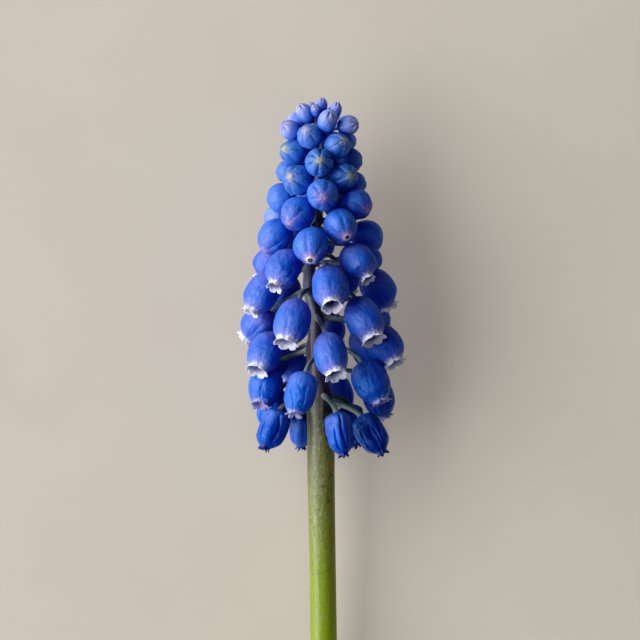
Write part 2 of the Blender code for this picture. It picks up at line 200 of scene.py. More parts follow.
# How deep the grooves between the lobes are, as shares of the radius. The buds round one place on
# the head, those with a star, have deeper ones.
TIP_BUD_GROOVE = 0.24
BUD_GROOVE = 0.10
STAR_BUD_GROOVE = 0.18
STAR_BUDS_DOWN = 8
STAR_BUDS_SPREAD = 2.2
OPEN_GROOVE = 0.05

# Old florets wither between these two places on the head
WITHER_FROM = 34
WITHER_TO = 39
FOLD_COUNT = 11

# How uneven the frilled edge is, and how many ripples it has round it
RAGGED = {"open": 0.04, "spent": 0.22}
EDGE_RIPPLES = (2, 5, 9, 15)

# Colours of the petals where they are darkest and lightest
PETAL_BLUES = {
    "tip_bud": ((0.075, 0.16, 0.60), (0.165, 0.245, 0.72)),
    "bud": ((0.012, 0.090, 0.49), (0.044, 0.146, 0.62)),
    "open": ((0.004, 0.055, 0.39), (0.020, 0.109, 0.55)),
    "spent": ((0.004, 0.055, 0.40), (0.020, 0.115, 0.58)),
    "old": ((0.002, 0.028, 0.28), (0.003, 0.056, 0.41)),
}

# Soft lights: name, place, what it points at, size, power, colour
LIGHTS = (
    ("window", (-0.50, 0.07, 0.29), (0.0, 0.05, 0.03), (1.0, 0.7), 11.5, (1.0, 0.985, 0.96)),
    ("fill", (0.1, -0.1, 0.95), (0.0, 0.028, 0.008), (0.6, 0.6), 0.75, (0.97, 0.98, 1.0)),
    ("bounce", (0.60, -0.15, 0.20), (0.0, -0.04, 0.0), (0.6, 0.4), 0.32, (0.84, 0.90, 0.86)),
)
ROOM_COLOUR = (0.92, 0.95, 1.0)
ROOM_STRENGTH = 0.05

FRONT = -1
BACK = 1

BLOOM_FIELDS = "kind across down tip_across tip_down length width side depth leaves_at"
Bloom = namedtuple("Bloom", BLOOM_FIELDS, defaults=(FRONT, None, None))
Placed = namedtuple("Placed", "kind middle heading length width leaves_at shown")

# Each floret that shows: its middle, where its tip or mouth is, its length and width, and where set
# its side, its depth from the stem's middle and where its stalk leaves the stem
BLOOMS = (
    ("tip_bud", 0.2, 0.95, 0.25, 0.0, 1.9, 1.35, FRONT, 0.0),
    ("tip_bud", 1.85, 1.5, 2.1, 0.6, 2.1, 1.5, FRONT, 0.2),
    ("tip_bud", -0.55, 1.6, -0.6, 0.95, 1.8, 1.15, FRONT, 1.1),
    ("tip_bud", -0.95, 1.2, -1.05, 0.5, 1.6, 0.95, BACK, 0.7),
    ("tip_bud", -1.85, 1.95, -2.4, 0.85, 2.6, 1.95, FRONT, 0.4),
    ("tip_bud", 0.85, 2.9, 1.2, 1.75, 2.9, 2.35),
    ("tip_bud", 3.3, 3.35, 4.4, 3.1, 2.7, 2.4),
    ("tip_bud", -3.5, 3.85, -4.5, 3.4, 2.7, 2.4),
    ("bud", -1.3, 4.65, -1.75, 3.85, 3.2, 2.95),
    ("bud", 2.1, 5.7, 3.0, 5.2, 3.3, 3.1),
    ("tip_bud", 3.1, 5.1, 4.0, 5.2, 2.7, 2.3, BACK),
    ("tip_bud", 0.6, 4.7, 0.7, 3.9, 2.7, 2.2, FRONT, 0.9),
    ("bud", -3.25, 6.5, -4.4, 6.1, 3.4, 3.1),
    ("bud", -0.1, 7.9, 0.0, 7.55, 3.6, 3.35),
    ("bud", 3.6, 7.4, 4.8, 7.9, 3.4, 3.0, BACK),
    ("bud", -3.85, 8.85, -4.8, 9.2, 3.2, 2.8, BACK),
    ("bud", -2.65, 9.85, -3.65, 9.5, 3.8, 3.65),
    ("bud", 2.8, 9.4, 3.7, 9.5, 3.6, 3.35),
    ("bud", 4.05, 10.3, 5.1, 10.7, 3.4, 3.0, BACK),
    ("bud", 0.25, 11.7, 0.4, 12.1, 4.0, 3.75),
    ("bud", -4.6, 12.0, -5.8, 12.5, 3.7, 3.5, BACK),
    ("bud", -2.75, 14.0, -3.8, 15.1, 4.6, 3.95),
    ("bud", 4.4, 12.8, 5.7, 13.5, 4.0, 3.75),
    ("bud", 2.45, 15.4, 3.25, 16.8, 4.7, 4.2),
    ("bud", 5.6, 16.7, 6.9, 18.0, 4.5, 4.0, BACK),
    ("bud", -5.3, 16.7, -6.8, 18.4, 4.9, 4.2),
    ("bud", -1.0, 17.8, -1.15, 19.6, 5.2, 4.2),
    ("bud", -5.2, 14.3, -6.1, 15.3, 3.5, 3.0, BACK),
    ("open", -4.3, 20.7, -5.5, 22.9, 5.6, 4.2),
    ("open", 4.5, 19.9, 5.8, 22.0, 5.4, 4.3),
    ("open", 1.2, 22.8, 1.5, 25.2, 6.3, 4.5),
    ("open", -6.1, 19.9, -7.4, 21.7, 4.7, 3.6, BACK),
    ("open", -7.0, 23.4, -8.4, 25.9, 5.8, 4.2),
    ("open", 7.0, 22.9, 8.4, 25.1, 5.6, 4.2, BACK),
    ("open", -3.3, 26.9, -4.1, 29.6, 6.2, 4.3),
    ("open", 5.3, 26.6, 6.5, 29.2, 6.2, 4.5),
    ("open", -7.4, 27.2, -9.0, 28.9, 5.0, 3.8, BACK, None, 22.7),
    ("open", 6.9, 26.2, 7.8, 27.6, 4.6, 3.1, BACK, 3.2),
    ("open", 7.7, 29.7, 9.1, 32.0, 5.6, 4.2, FRONT, 1.0),
    ("open", 1.4, 27.6, 2.0, 29.6, 4.9, 3.2, BACK),
    ("bud", 5.9, 19.2, 6.8, 20.3, 3.9, 3.1, BACK, 3.0),
    ("open", -6.5, 30.6, -7.6, 32.9, 5.7, 4.1),
    ("open", 1.3, 30.8, 2.0, 33.4, 6.1, 4.0, FRONT, None, 25.9),
    ("spent", -6.6, 34.8, -7.2, 37.0, 5.0, 4.1, FRONT, 0.4, 30.0),
    ("spent", -3.2, 32.1, -3.8, 33.8, 4.8, 3.4, BACK),
    ("spent", -2.4, 35.5, -3.1, 38.1, 5.6, 3.9, FRONT, None, 31.2),
    ("spent", 6.2, 34.1, 7.4, 36.6, 5.6, 4.3, FRONT, None, 28.6),
    ("spent", 7.0, 36.0, 7.8, 38.3, 5.2, 4.0, BACK, 2.2),
    ("spent", 2.6, 35.3, 3.5, 37.2, 4.6, 2.7, BACK),
    ("spent", -5.8, 39.8, -6.8, 42.2, 5.3, 3.9, FRONT, None, 37.0),
    ("spent", -2.25, 40.0, -2.3, 42.2, 4.7, 3.2, BACK, None, 37.2),
    ("spent", 2.35, 40.3, 2.8, 43.0, 5.5, 3.6, FRONT, None, 35.4),
    ("spent", 6.2, 40.4, 7.6, 42.7, 5.5, 4.0, FRONT, None, 36.2),
)


def between(rows, down):
    """The row of values at this place, read straight between the rows given."""
    places, *columns = zip(*rows)
    return [float(np.interp(down, places, column)) for column in columns]


def stem_point(down):
    """Middle of the stem inside the head."""
    across, _radius = between(RACHIS_LINE, down)
    return Vector((across, 0, PLANT_LENGTH - down))


def place_bloom(item):
    """Turns what the front view shows into a middle and a heading in space."""
    radius = between(HEAD_PROFILE, item.down)[0]
    if item.depth is None:
        depth = math.sqrt(max(radius**2 - item.across**2, (SIDE_DEPTH * radius) ** 2))
    else:
        depth = item.depth
    middle = Vector((item.across, item.side * depth, PLANT_LENGTH - item.down))
    half = item.length / 2
    sideways = (item.tip_across - item.across) / half
    upwards = (item.down - item.tip_down) / half
    flat = math.hypot(sideways, upwards)
    if flat > MOST_FLAT:
        sideways *= MOST_FLAT / flat
        upwards *= MOST_FLAT / flat
    forwards = item.side * math.sqrt(1 - sideways**2 - upwards**2)
    heading = Vector((sideways, forwards, upwards))
    return Placed(item.kind, middle, heading, item.length, item.width, item.leaves_at, True)


def kind_at(down):
    return next((kind for limit, kind in KINDS_BY_PLACE if down < limit), "spent")


def blocks_gap(across, down):
    return any(math.hypot(across - x, down - y) < GAP_CLEAR for x, y in GAPS)


def place_back(shown):
    """Fills the far side: each try turns on by a fixed share of the arc, and full places are skipped."""
    placed = []
    for number in range(BACK_TRIES):
        down = BACK_FIRST_DOWN + (BACK_LAST_DOWN - BACK_FIRST_DOWN) * number / (BACK_TRIES - 1)
        turn = (number * BACK_STEP) % 1 - 0.5
        azimuth = math.radians(90 + BACK_ARC * turn)
        length, width, droop = between(SIZE_BY_PLACE, down)
        radius = between(HEAD_PROFILE, down)[0]
        outward = Vector((math.cos(azimuth), math.sin(azimuth), 0))
        droop = math.radians(droop)
        heading = outward * math.cos(droop) - Vector((0, 0, math.sin(droop)))
        middle = outward * radius + Vector((0, 0, PLANT_LENGTH - down))
        item = Placed(kind_at(down), middle, heading, length, width, None, False)
        if blocks_gap(middle.x, down):
            continue
        if all(shared(item, other) < BACK_CLEAR for other in shown + placed):
            placed.append(item)
    return placed


def balls(item):
    for along, size in BALLS:
        yield item.middle + item.heading * (along - 0.5) * item.length, size * item.width / 2


def shared(item, other):
    """How deep two florets reach into each other."""
    if (item.middle - other.middle).length > item.length + other.length:
        return 0.0
    return max(a + b - (one - two).length for one, a in balls(item) for two, b in balls(other))


def moved_apart(items):
    """Eases crowded florets apart, in depth alone where they show from the front."""
    items = list(items)
    for _round in range(SPREAD_ROUNDS):
        for first in range(len(items)):
            for second in range(first):
                pair = (items[first], items[second])
                excess = shared(*pair) - SHARED
                if excess <= 0:
                    continue
                apart = (pair[0].middle - pair[1].middle).normalized() * excess * SPREAD_STEP
                for index, push in ((first, apart), (second, -apart)):
                    sideways = 0.0 if items[index].shown else push.x
                    inwards = math.copysign(max(abs(push.y), LEAST_PUSH), push.y)
                    moved = items[index].middle + Vector((sideways, inwards, 0))
                    items[index] = kept_off_ground(items[index]._replace(middle=moved))
    return items


def lay_down():
    """The turn that lays the plant on its back with the cut end's lower edge on the ground."""
    turn = Matrix.Rotation(math.radians(LEAN - 90), 4, "X")
    lift = SCAPE_LINE[0][2] * math.cos(math.radians(LEAN)) * MM
    return Matrix.Translation((0, 0, lift)) @ turn


def lowest_reach(item):
    """How far the floret reaches below its own middle once the plant lies down."""
    down = -(lay_down().to_3x3().transposed() @ Vector((0, 0, 1)))
    along = abs(item.heading.dot(down))
    across = math.sqrt(max(1 - along**2, 0))
    return math.hypot(along * item.length / 2, across * item.width / 2)


def kept_off_ground(item):
    """Moves a floret in towards the stem where it would be pressed too far into the ground."""
    height = (lay_down() @ (item.middle * MM)).z / MM
    short = max(lowest_reach(item) - PRESS - height, 0)
    return item._replace(middle=item.middle - Vector((0, short, 0)))


def smooth(places, values, at):
    """Values on a smooth curve through the ones given."""
    places = np.asarray(places, float)
    values = np.asarray(values, float)
    at = np.clip(at, places[0], places[-1])
    slopes = np.gradient(values, places)
    index = np.clip(np.searchsorted(places, at) - 1, 0, len(places) - 2)
    width = places[index + 1] - places[index]
    share = (at - places[index]) / width
    back = 1 - share
    return (
        back**2 * (1 + 2 * share) * values[index]
        + share**2 * (3 - 2 * share) * values[index + 1]
        + back**2 * share * width * slopes[index]
        - share**2 * back * width * slopes[index + 1]
    )


def smooth_step(value, low, high):
    share = np.clip((value - low) / (high - low), 0, 1)
    return share * share * (3 - 2 * share)


def even_outline(outline, count):
    """The outline as this many points at even distances along a smooth curve."""
    rows = np.array(outline)
    run = np.concatenate([[0], np.cumsum(np.hypot(*np.diff(rows * (1, 0.5), axis=0).T))])
    at = np.linspace(0, run[-1], count)
    return smooth(run, rows[:, 0], at), np.maximum(smooth(run, rows[:, 1], at), 0)


def folds(around, along, age, draw):
    """Creases of a withered floret: how deep each point lies in them. A younger one has few."""
    deep = np.zeros_like(around)
    for number in range(FOLD_COUNT):
        place = number * math.tau / FOLD_COUNT + draw.uniform(-0.25, 0.25)
        width = draw.uniform(0.05, 0.11)
        depth = draw.uniform(0.14, 0.26) if draw.random() < 0.5 else draw.uniform(0.03, 0.08)
        kept = 0.9 if draw.random() < 0.3 else 0.1
        depth *= age + (1 - age) * kept
        first = draw.uniform(-0.05, 0.30) * age + 0.25 * (1 - age)
        twist = draw.uniform(-0.7, 0.7)
        wander = draw.uniform(0.03, 0.12) * np.sin(draw.uniform(5, 12) * along + draw.uniform(0, 6))
        apart = np.abs(np.angle(np.exp(1j * (around - place - twist * along - wander))))
        deep += depth * np.exp(-((apart / width) ** 1.2)) * smooth_step(along, first, first + 0.2)
    for corners in (3, 4, 5):
        bulge = np.cos(corners * around + draw.uniform(0, 6) + draw.uniform(-2, 2) * along)
        deep += age * draw.uniform(0.01, 0.04) * bulge
    return deep - deep.mean() * 0.7


def hump(value, middle, spread):
    return np.exp(-(((value - middle) / spread) ** 2))


def tip_bud_form(share, radius, lobe):
    """Lobes that part at the point of the bud."""
    radius = radius * (1 - TIP_BUD_GROOVE * (1 - lobe) ** 2 * smooth_step(share, 0.78, 0.96))
    share = share + 0.10 * (lobe - 0.6) * smooth_step(share, 0.86, 0.98)
    return share, radius


def bud_form(share, radius, lobe, down):
    """Swollen lobes with grooves between them, narrower lower on the head."""
    groove = BUD_GROOVE + STAR_BUD_GROOVE * hump(down, STAR_BUDS_DOWN, STAR_BUDS_SPREAD)
    radius = radius * (1 - groove * (1 - lobe) ** 2 * smooth_step(share, 0.40, 0.92))
    radius = radius * (1 + 0.02 * lobe * np.sin(math.pi * np.clip(share, 0, 1)))
    narrower = 0.05 * smooth_step(down, 13, 17) * (1 + 2 * smooth_step(share, 0.45, 0.0))
    return radius * (1 - narrower)


def spent_form(share, radius, around, inside, down, draw):
    """A body that folds and shrinks with age, least at its shoulders."""
    age = smooth_step(down, WITHER_FROM, WITHER_TO)
    radius = radius * (1 - folds(around, share, age, draw) * (1 - inside))
    fuller = 0.12 * hump(share, 0.1, 0.1) + 0.03 * hump(share, 0.75, 0.1)
    radius = radius * (1 + age * (fuller - 0.13))
    return radius * (1 + 0.34 * (1 - age) * smooth_step(share, 0.80, 0.94))


def frilled(kind, neck, share, radius, around, lobe, down, draw):
    """The edge past the neck drawn out into six uneven teeth, and the mouth opened or pursed."""
    past = np.clip(share - neck, 0, None)
    wave = 0
    for ripples in EDGE_RIPPLES:
        height = RAGGED[kind] * draw.uniform(0.3, 1)
        wave = wave + height * np.cos(ripples * around + draw.uniform(0, 6))
    if kind == "open":
        tooth = np.clip(0.38 + 0.62 * (1 - (1 - lobe) ** 2.4) + wave, 0.05, 1.1)
    else:
        tooth = np.clip(0.22 + 0.86 * lobe**0.7 + wave, 0.05, 1.25)
    share = np.where(past > 0, neck + past * tooth, share)
    flare = smooth_step(past, 0, 1 - neck)
    radius = radius * (1 + flare * (0.16 * lobe - 0.08 + 0.4 * wave))
    mouth = draw.uniform(0.96, 1.06) - 0.34 * (1 - smooth_step(down, 19, 27))
    return share, radius * (1 - (1 - mouth) * smooth_step(share, neck - 0.22, neck))


def uneven(share, radius, around, draw):
    """A little oval and wavy, as no two florets are alike."""
    oval = draw.uniform(0.0, 0.05)
    oval_turn = draw.uniform(0, math.tau)
    radius = radius * (1 + oval * np.cos(2 * (around - oval_turn)))
    for turns in (1, 2, 3):
        phase = draw.uniform(0, math.tau)
        rise = draw.uniform(2, 5)
        radius = radius * (1 + 0.012 * np.cos(turns * around + rise * share + phase))
    return radius


def floret_grid(kind, length, width, down, draw):
    """Points of a floret, round and along, in millimetres with its base at the origin and its tip up."""
    outline, neck = OUTLINES[kind]
    columns, rows = FINENESS[kind]
    share, radius = even_outline(outline, rows)
    top = int(np.argmax(share))
    inside = smooth_step(np.arange(rows), top - 1, top + 2) if neck else np.zeros(rows)
    angles = np.linspace(0, math.tau, columns, endpoint=False)
    share, around = np.meshgrid(share, angles, indexing="ij")
    radius, inside = radius[:, None], inside[:, None]
    lobe = np.abs(np.cos(3 * around))
    if kind == "tip_bud":
        share, radius = tip_bud_form(share, radius, lobe)
    elif kind == "bud":
        radius = bud_form(share, radius, lobe, down)
    elif kind == "open":
        groove = OPEN_GROOVE * (1 - lobe) ** 2 * smooth_step(share, 0.3, 0.75)
        radius = radius * (1 - groove * (1 - inside))
    else:
        radius = spent_form(share, radius, around, inside, down, draw)
    if neck:
        share, radius = frilled(kind, neck, share, radius, around, lobe, down, draw)
    sway = draw.uniform(-1, 1), draw.uniform(-1, 1)
    radius = uneven(share, radius, around, draw)
    bend = 0.03 * width * np.sin(math.pi * np.clip(share, 0, 1))
    across = radius * width / 2 * np.cos(around) + bend * sway[0]
    deep = radius * width / 2 * np.sin(around) + bend * sway[1]
    points = np.stack([across, deep, share * length], axis=-1)
    values = {
        "along": np.clip(share, 0, 1),
        "lobe": lobe,
        "inside": inside,
        "off_seam": radius * width / 2 * np.arcsin(lobe) / 3,
        "off_axis": np.where(share > 0.6, radius * width / 2, width / 2),
    }
    return points, values


def grid_faces(rows, columns, first):
    """Faces of a closed grid: a single point at each end and rings of points between."""
    start = first + 1
    last = start + (rows - 2) * columns
    edge = last - columns
    pairs = [(column, (column + 1) % columns) for column in range(columns)]
    faces = [(first, start + after, start + column) for column, after in pairs]
    for low in range(start, edge, columns):
        high = low + columns
        faces += [(low + column, low + after, high + after, high + column) for column, after in pairs]
    return faces + [(edge + column, edge + after, last) for column, after in pairs]


def moved(points, place):
    """Points turned and moved by a matrix."""
    place = np.array(place)
    return points @ place[:3, :3].T + place[:3, 3]


def linked(name, data):
    """A new object in the scene that holds this mesh, light or camera."""
    obj = bpy.data.objects.new(name, data)
    bpy.context.scene.collection.objects.link(obj)
    return obj


class Skin:
    """Gathers grids of points into one mesh, with values for the material at each point."""

    def __init__(self):
        self.points = []
        self.faces = []
        self.values = {}
        self.count = 0

    def add(self, grid, **values):
        rows, columns = grid.shape[:2]
        self.faces += grid_faces(rows, columns, self.count)
        self.points.append(self.trimmed(grid))
        self.count += (rows - 2) * columns + 2
        for name, value in values.items():
            value = np.broadcast_to(value, grid.shape if name == "skin" else (rows, columns))
            self.values.setdefault(name, []).append(self.trimmed(value))

    def trimmed(self, grid):
        """The grid in one run, with each end ring as the single point it closes to."""
        first, last = grid[0].mean(axis=0), grid[-1].mean(axis=0)
        return np.concatenate([first[None], grid[1:-1].reshape(-1, *first.shape), last[None]])

    def built(self, name, material):
        mesh = bpy.data.meshes.new(name)
        points = moved(np.concatenate(self.points) * MM, PLACE)
        points[:, 2] = np.maximum(points[:, 2], 0)
        mesh.from_pydata(points.tolist(), [], self.faces)
        for key, parts in self.values.items():
            values = np.concatenate(parts).astype(np.float32)
            kind, field = ("FLOAT_VECTOR", "vector") if values.ndim == 2 else ("FLOAT", "value")
            mesh.attributes.new(key, kind, "POINT").data.foreach_set(field, values.ravel())
        mesh.materials.append(material)
        mesh.shade_smooth()
        return linked(name, mesh)


def swept(path, widths, columns, thinness=1.0):
    """Rings round a path, closed at both ends to a point. A thinness under one flattens them."""
    path = np.asarray(path, float)
    headings = np.gradient(path, axis=0)
    headings /= np.linalg.norm(headings, axis=1)[:, None]
    helper = np.array((0.0, 1.0, 0.0)) if abs(headings[0][1]) < 0.9 else np.array((1.0, 0.0, 0.0))
    angles = np.linspace(0, math.tau, columns, endpoint=False)
    rings = []
    for point, heading, width in zip(path, headings, widths):
        side = np.cross(helper, heading)
        side /= np.linalg.norm(side)
        helper = np.cross(heading, side)
        ring = np.outer(np.cos(angles), side) + thinness * np.outer(np.sin(angles), helper)
        rings.append(point + ring * width)
    first = np.repeat(path[:1], columns, axis=0)
    last = np.repeat(path[-1:], columns, axis=0)
    return np.stack([first, *rings, last])


def pedicel_path(item):
    """From inside the stem, arching into the base of the floret, as in the solids."""
    base = item.middle - item.heading * item.length / 2
    bend = base - item.heading * PEDICEL_ARCH
    leaves_at = item.leaves_at
    if leaves_at is None:
        leaves_at = PLANT_LENGTH - bend.z + max(item.heading.z, 0) * PEDICEL_RISE
    leaves_at = min(max(leaves_at, RACHIS_LINE[0][0]), LOWEST_PEDICEL_DOWN)
    start = stem_point(leaves_at)
    path = []
    for step in range(PEDICEL_STEPS + 1):
        share = step / PEDICEL_STEPS
        path.append(start * (1 - share) ** 2 + bend * 2 * share * (1 - share) + base * share**2)
    path.append(base + item.heading * item.length * PEDICEL_SINK)
    return path


def floret_place(item, roll):
    """From a floret's own grid, with its base at the origin, to its place on the plant."""
    base = item.middle - item.heading * item.length / 2
    turn = item.heading.to_track_quat("Z", "Y").to_matrix().to_4x4()
    return Matrix.Translation(base) @ turn @ Matrix.Rotation(roll, 4, "Z")


def build_florets(items, rolls, kind, name, material):
    draw = random.Random(SEED + len(kind))
    skin = Skin()
    for item, roll in zip(items, rolls):
        if item.kind != kind:
            continue
        down = PLANT_LENGTH - item.middle.z
        grid, values = floret_grid(kind, item.length, item.width, down, draw)
        own_place = [draw.uniform(0, 40) for _axis in range(3)]
        tone = draw.uniform(0, 1)
        spot = (round(item.middle.x, 2), round(down, 1))
        marks = {mark: spots.get(spot, 0.0) for mark, spots in MARKED.items()}
        placed = moved(grid, floret_place(item, roll))
        skin.add(placed, skin=grid + own_place, tone=tone, down=down, **marks, **values)
    return skin.built(name, material)


def build_bracts(items, material):
    """A tiny pale scale where each pedicel leaves the stem."""
    draw = random.Random(SEED)
    skin = Skin()
    for item in items:
        path = pedicel_path(item)
        _across, radius = between(RACHIS_LINE, PLANT_LENGTH - path[0].z)
        leaves = next(at for at in range(1, len(path)) if (path[at] - path[0]).length > radius)
        out = (path[leaves] - path[leaves - 1]).normalized()
        foot = path[0] + (path[leaves] - path[0]).normalized() * radius * 0.9
        foot -= Vector((0, 0, PEDICEL_WIDTH * 0.8))
        length = BRACT_LENGTH * draw.uniform(0.7, 1.1)
        out = (out - Vector((0, 0, 0.5))).normalized()
        lean = (out - Vector((0, 0, draw.uniform(0.2, 0.8)))).normalized()
        bend = foot + out * length * 0.5
        tip = bend + lean * length * 0.5
        points = [foot, foot.lerp(bend, 0.5), bend, bend.lerp(tip, 0.5), tip]
        widths = [BRACT_WIDTH / 2 * share for share in BRACT_TAPER]
        skin.add(swept(points, widths, 10, 0.4), tone=draw.uniform(0, 1))
    return skin.built("bracts", material)


def build_anthers(items, rolls, material):
    """Six dark grains a floret, set in the wall just inside its mouth."""
    draw = random.Random(SEED)
    skin = Skin()
    for item, roll in zip(items, rolls):
        if item.kind != "open":
            continue
        place = floret_place(item, roll)
        for number in range(6):
            angle = (number + 0.5) * math.tau / 6 + draw.uniform(-0.15, 0.15)
            reach = item.width / 2 * ANTHER_REACH
            low = item.length * (ANTHER_ALONG + draw.uniform(-0.02, 0.02))
            path = []
            for step in ANTHER_STEPS:
                height = low + step * ANTHER_LENGTH / 2
                path.append(place @ Vector((reach * math.cos(angle), reach * math.sin(angle), height)))
            widths = [ANTHER_WIDTH / 2 * share for share in ANTHER_TAPER]
            skin.add(swept(path, widths, 8), tone=draw.uniform(0, 1))
    return skin.built("anthers", material)


def build_stem(items, material):
    heights = np.arange(0, PLANT_LENGTH - RACHIS_LINE[0][0], STEM_STEP)
    rachis = sorted((PLANT_LENGTH - down, across, radius) for down, across, radius in RACHIS_LINE)
    line = np.array(list(SCAPE_LINE) + rachis)
    across = smooth(line[:, 0], line[:, 1], heights)
    radius = smooth(line[:, 0], line[:, 2], heights)
    angles = np.linspace(0, math.tau, STEM_ROUND, endpoint=False)
    height, around = np.meshgrid(heights, angles, indexing="ij")
    swell = np.zeros_like(height)
    for item in items:
        path = pedicel_path(item)
        leave = path[0]
        aim = path[PEDICEL_STEPS // 2] - leave
        apart = np.angle(np.exp(1j * (around - math.atan2(aim.y, aim.x))))
        rise = height - leave.z - 0.3
        reach = np.where(rise > 0, 0.5, 1.6)
        swell += 0.14 * np.exp(-((apart / 0.45) ** 2) - (rise / reach) ** 2)
    rim = 1 - 0.06 * np.exp(-height / 0.25)
    width = radius[:, None] * rim + swell
    ribs = 0.006 * np.cos(7 * around + 0.05 * height)
    waves = 0.008 * np.cos(2 * around + 0.2 * height)
    width = width * (1 + ribs + waves)
    rings = np.stack([across[:, None] + width * np.cos(around), width * np.sin(around), height], axis=-1)
    cut = []
    for share in CUT_RINGS:
        ring = rings[0] * (share, share, 1) + ((1 - share) * across[0], 0, 0)
        ring[:, 2] = CUT_DISH * (1 - share**2) + CUT_SLANT * share * np.cos(angles)
        cut.append(ring)
    top = np.repeat(rings[-1].mean(axis=0)[None], STEM_ROUND, axis=0)
    grid = np.concatenate([np.array(cut), rings, top[None]])
    skin = Skin()
    shares = np.concatenate([CUT_RINGS, np.ones(len(heights) + 1)])
    skin.add(grid, skin=grid, height=grid[..., 2], cut=1 - shares[:, None], rightward=np.cos(angles))
    return skin.built("stem", material)


def build_pedicels(items, material):
    draw = random.Random(SEED)
    skin = Skin()
    for item in items:
        path = pedicel_path(item)
        down = PLANT_LENGTH - item.middle.z
        slim = 0.7 + 0.3 * min(1.0, down / 18) + 0.16 * smooth_step(down, 35, 39)
        shares = np.linspace(0, 1, len(path))
        widths = PEDICEL_WIDTH * slim * (0.86 + 0.22 * (1 - shares) ** 6 + 0.30 * shares**8)
        grid = swept(path, widths, PEDICEL_ROUND)
        along = np.concatenate([[0], shares, [1]])[:, None]
        own_place = [draw.uniform(0, 40) for _axis in range(3)]
        skin.add(grid, skin=grid + own_place, along=along, tone=draw.uniform(0, 1), down=down)
    return skin.built("pedicels", material)


class Look:
    """A node material whose colour, roughness and relief are worked out from values on the mesh."""

    def __init__(self, name):
        self.material = bpy.data.materials.new(name)
        self.material.use_nodes = True
        self.tree = self.material.node_tree
        self.surface = self.tree.nodes["Principled BSDF"]
        self.colour = None

    def node(self, kind, inputs=(), **settings):
        node = self.tree.nodes.new(kind)
        for key, value in settings.items():
            setattr(node, key, value)
        for key, value in inputs:
            if isinstance(value, bpy.types.NodeSocket):
                self.tree.links.new(value, node.inputs[key])
            else:
                node.inputs[key].default_value = value
        return node

    def value(self, name):
        return self.node("ShaderNodeAttribute", attribute_name=name).outputs["Fac"]

    def noise(self, scale, detail=2, roughness=0.5):
        """Noise on the skin in millimetres, its grain finer by these scales along each axis."""
        place = self.node("ShaderNodeAttribute", attribute_name="skin").outputs["Vector"]
        place = self.node("ShaderNodeVectorMath", [(0, place), (1, scale)], operation="MULTIPLY").outputs[0]
        inputs = [("Vector", place), ("Scale", 1.0), ("Detail", detail), ("Roughness", roughness)]
        return self.node("ShaderNodeTexNoise", inputs).outputs["Fac"]

    def sum(self, first, second):
        return self.node("ShaderNodeMath", [(0, first), (1, second)], operation="ADD").outputs[0]

    def product(self, first, second):
        return self.node("ShaderNodeMath", [(0, first), (1, second)], operation="MULTIPLY").outputs[0]

    def step(self, value, low, high, to_low=0.0, to_high=1.0):
        names = ("Value", "From Min", "From Max", "To Min", "To Max")
        inputs = zip(names, (value, low, high, to_low, to_high))
        return self.node("ShaderNodeMapRange", inputs, interpolation_type="SMOOTHSTEP").outputs["Result"]

    def mix(self, share, *tints):
        """Two colours, each plain or from a node, mixed by a share."""
        tints = [tint if isinstance(tint, bpy.types.NodeSocket) else (*tint, 1) for tint in tints]
        return self.node("ShaderNodeMix", zip((0, 6, 7), (share, *tints)), data_type="RGBA").outputs[2]

    def spread(self, pattern, low=0.0, high=1.0):
        """A noise pattern stretched to run from one value to another."""
        return self.step(pattern, 0.3, 0.7, low, high)

    def faded(self, where, value, low, high, to_low=0.0, to_high=1.0):
        """A pattern that comes in between these two levels of a value."""
        return self.product(where, self.step(value, low, high, to_low, to_high))

    def paint(self, where, tint, share=None):
        """Lays a tint, or this share of it, over the colour so far."""
        if share is not None:
            where = self.product(where, share)
        self.colour = self.mix(where, self.colour, tint)

    def relief(self, height, distance, strength):
        inputs = [("Height", height), ("Distance", distance * MM), ("Strength", strength)]
        normal = self.node("ShaderNodeBump", inputs).outputs["Normal"]
        self.tree.links.new(normal, self.surface.inputs["Normal"])

    def finish(self, roughness, **constants):
        self.tree.links.new(self.colour, self.surface.inputs["Base Color"])
        self.tree.links.new(roughness, self.surface.inputs["Roughness"])
        for name, value in constants.items():
            self.surface.inputs[name.replace("_", " ")].default_value = value
        return self.material


def petal_colour(look, blues, streaked, lined):
    """Blue skin streaked along its length, lighter on each lobe, with pale specks and fine pale lines."""
    streaks = look.noise((4.5, 4.5, 0.7), 3, 0.6)
    blotches = look.noise((0.8, 0.8, 0.5))
    share = look.product(look.spread(streaks), streaked)
    share = look.sum(share, look.step(blotches, 0.35, 0.75, 0.0, 0.35))
    share = look.sum(share, look.product(look.value("lobe"), 0.12))
    share = look.sum(share, look.product(look.value("tone"), 0.15))
    look.colour = look.mix(share, *blues)
    glaucous = look.step(look.noise((0.9, 0.9, 0.6), 3, 0.6), 0.46, 0.68)
    lines = look.step(look.noise((7, 7, 1.3), 2, 0.6), 0.54, 0.68)
    specks = look.step(look.noise((6.5, 6.5, 5), 1), 0.62, 0.72)
    look.paint(glaucous, (0.13, 0.16, 0.60), 0.22)
    look.paint(lines, (0.07, 0.20, 0.80), lined)
    look.paint(specks, (0.20, 0.29, 0.76), 0.24)
    return streaks


